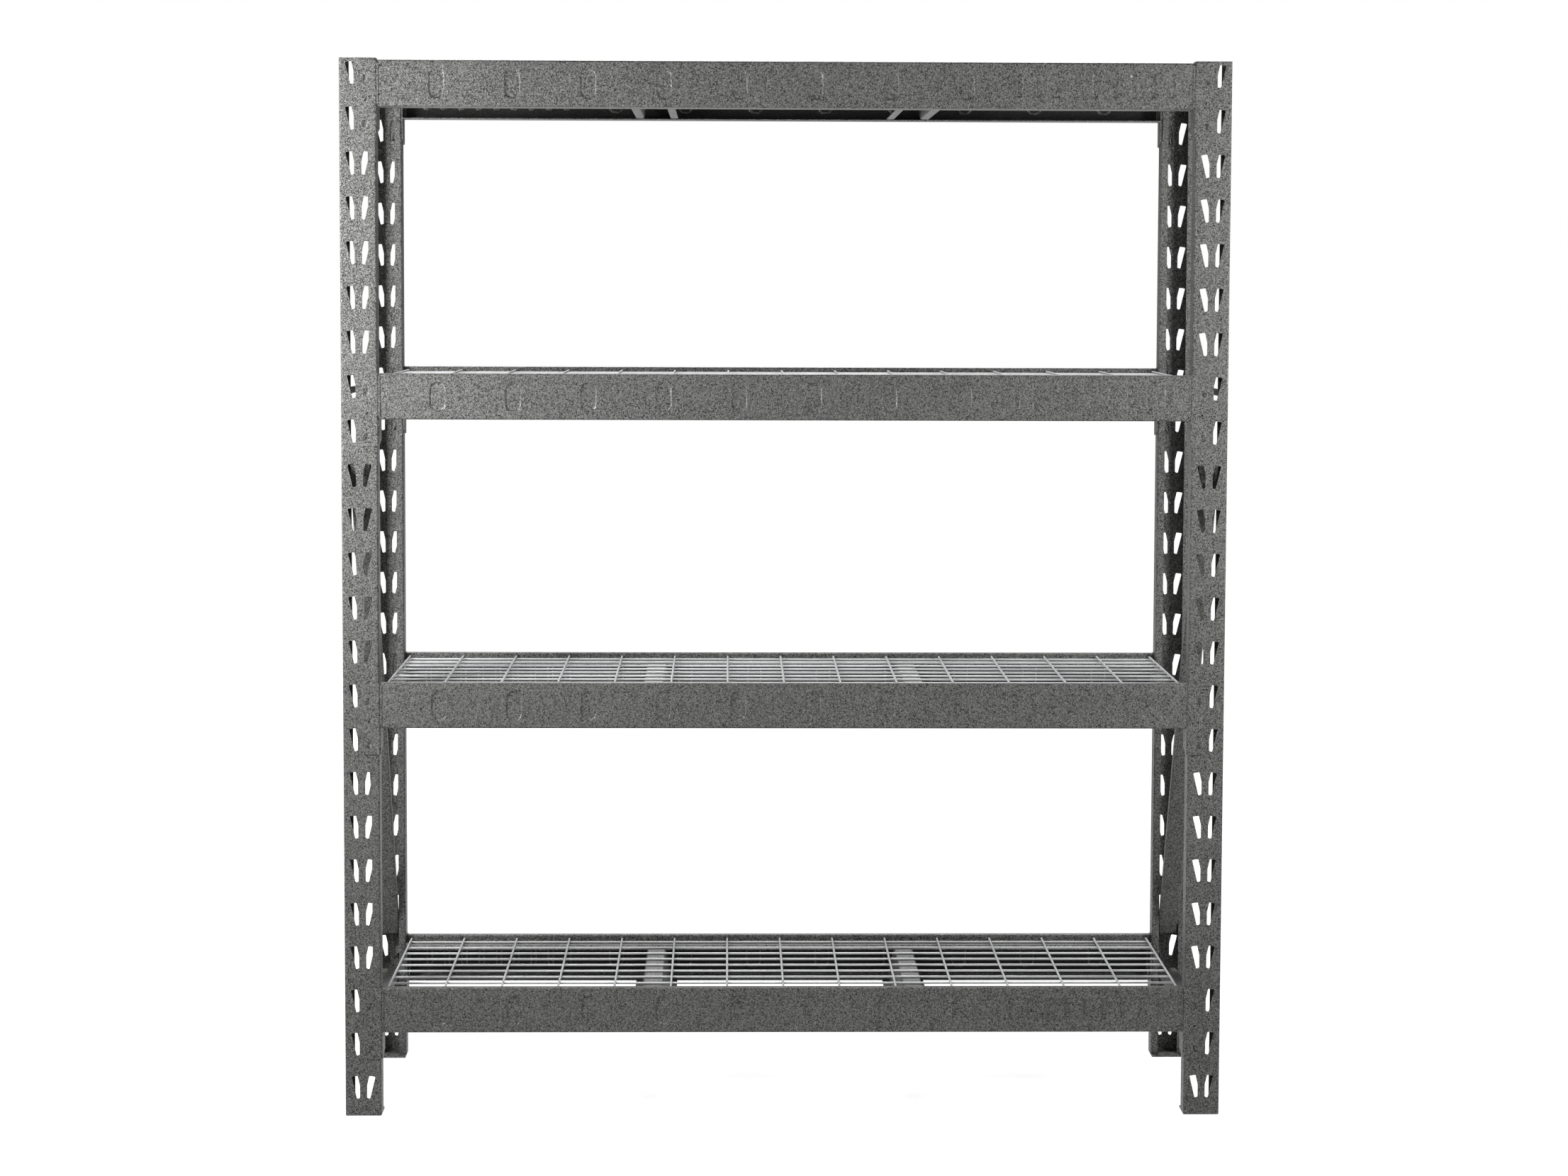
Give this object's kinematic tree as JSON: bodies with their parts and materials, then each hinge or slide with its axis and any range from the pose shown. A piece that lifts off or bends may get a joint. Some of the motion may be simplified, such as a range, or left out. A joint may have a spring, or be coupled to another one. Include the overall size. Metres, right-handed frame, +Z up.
{
  "type": "boltless steel shelving",
  "caption": "Free-standing steel shelving rack with slotted posts, hook-on step beams, crossbars and lift-out wire decks",
  "frame": {"origin": "on the floor at the middle of the footprint", "axes": "+X along the beams to the right seen from the front, +Y to the back, +Z up"},
  "size_m": [1.524, 0.4572, 1.8288],
  "materials": {
    "hammered_paint": "dark grey hammered powder paint, fine pebbled, semi-gloss",
    "wire": "satin silver-grey coated welded wire"
  },
  "bodies": {
    "frame": {"post_front_left": "hammered_paint", "foot_plate_front_left": "hammered_paint", "post_front_right": "hammered_paint", "foot_plate_front_right": "hammered_paint", "post_rear_left": "hammered_paint", "foot_plate_rear_left": "hammered_paint", "post_rear_right": "hammered_paint", "foot_plate_rear_right": "hammered_paint", "brace_lower_left": "hammered_paint", "brace_middle_left": "hammered_paint", "brace_upper_left": "hammered_paint", "brace_diagonal_left": "hammered_paint", "brace_lower_right": "hammered_paint", "brace_middle_right": "hammered_paint", "brace_upper_right": "hammered_paint", "brace_diagonal_right": "hammered_paint"},
    "shelf_1": {"beam_1_front": "hammered_paint", "beam_1_rear": "hammered_paint", "connector_1_front_left": "hammered_paint", "connector_1_front_right": "hammered_paint", "connector_1_rear_left": "hammered_paint", "connector_1_rear_right": "hammered_paint", "crossbar_1_left": "hammered_paint", "crossbar_1_right": "hammered_paint"},
    "deck_1": {"wire_deck_1": "wire"},
    "shelf_2": {"beam_2_front": "hammered_paint", "beam_2_rear": "hammered_paint", "connector_2_front_left": "hammered_paint", "connector_2_front_right": "hammered_paint", "connector_2_rear_left": "hammered_paint", "connector_2_rear_right": "hammered_paint", "crossbar_2_left": "hammered_paint", "crossbar_2_right": "hammered_paint"},
    "deck_2": {"wire_deck_2": "wire"},
    "shelf_3": {"beam_3_front": "hammered_paint", "beam_3_rear": "hammered_paint", "connector_3_front_left": "hammered_paint", "connector_3_front_right": "hammered_paint", "connector_3_rear_left": "hammered_paint", "connector_3_rear_right": "hammered_paint", "crossbar_3_left": "hammered_paint", "crossbar_3_right": "hammered_paint"},
    "deck_3": {"wire_deck_3": "wire"},
    "shelf_4": {"beam_4_front": "hammered_paint", "beam_4_rear": "hammered_paint", "connector_4_front_left": "hammered_paint", "connector_4_front_right": "hammered_paint", "connector_4_rear_left": "hammered_paint", "connector_4_rear_right": "hammered_paint", "crossbar_4_left": "hammered_paint", "crossbar_4_right": "hammered_paint"},
    "deck_4": {"wire_deck_4": "wire"}
  },
  "joints": [
    {"name": "shelf_1_unhook", "type": "slide", "parent": "frame", "child": "shelf_1", "axis": [0, 0, 1], "range_m": [0, 0.02]},
    {"name": "deck_1_lift", "type": "slide", "parent": "shelf_1", "child": "deck_1", "axis": [0, 0, 1], "range_m": [0, 0.06]},
    {"name": "shelf_2_unhook", "type": "slide", "parent": "frame", "child": "shelf_2", "axis": [0, 0, 1], "range_m": [0, 0.02]},
    {"name": "deck_2_lift", "type": "slide", "parent": "shelf_2", "child": "deck_2", "axis": [0, 0, 1], "range_m": [0, 0.06]},
    {"name": "shelf_3_unhook", "type": "slide", "parent": "frame", "child": "shelf_3", "axis": [0, 0, 1], "range_m": [0, 0.02]},
    {"name": "deck_3_lift", "type": "slide", "parent": "shelf_3", "child": "deck_3", "axis": [0, 0, 1], "range_m": [0, 0.06]},
    {"name": "shelf_4_unhook", "type": "slide", "parent": "frame", "child": "shelf_4", "axis": [0, 0, 1], "range_m": [0, 0.02]},
    {"name": "deck_4_lift", "type": "slide", "parent": "shelf_4", "child": "deck_4", "axis": [0, 0, 1], "range_m": [0, 0.06]}
  ]
}
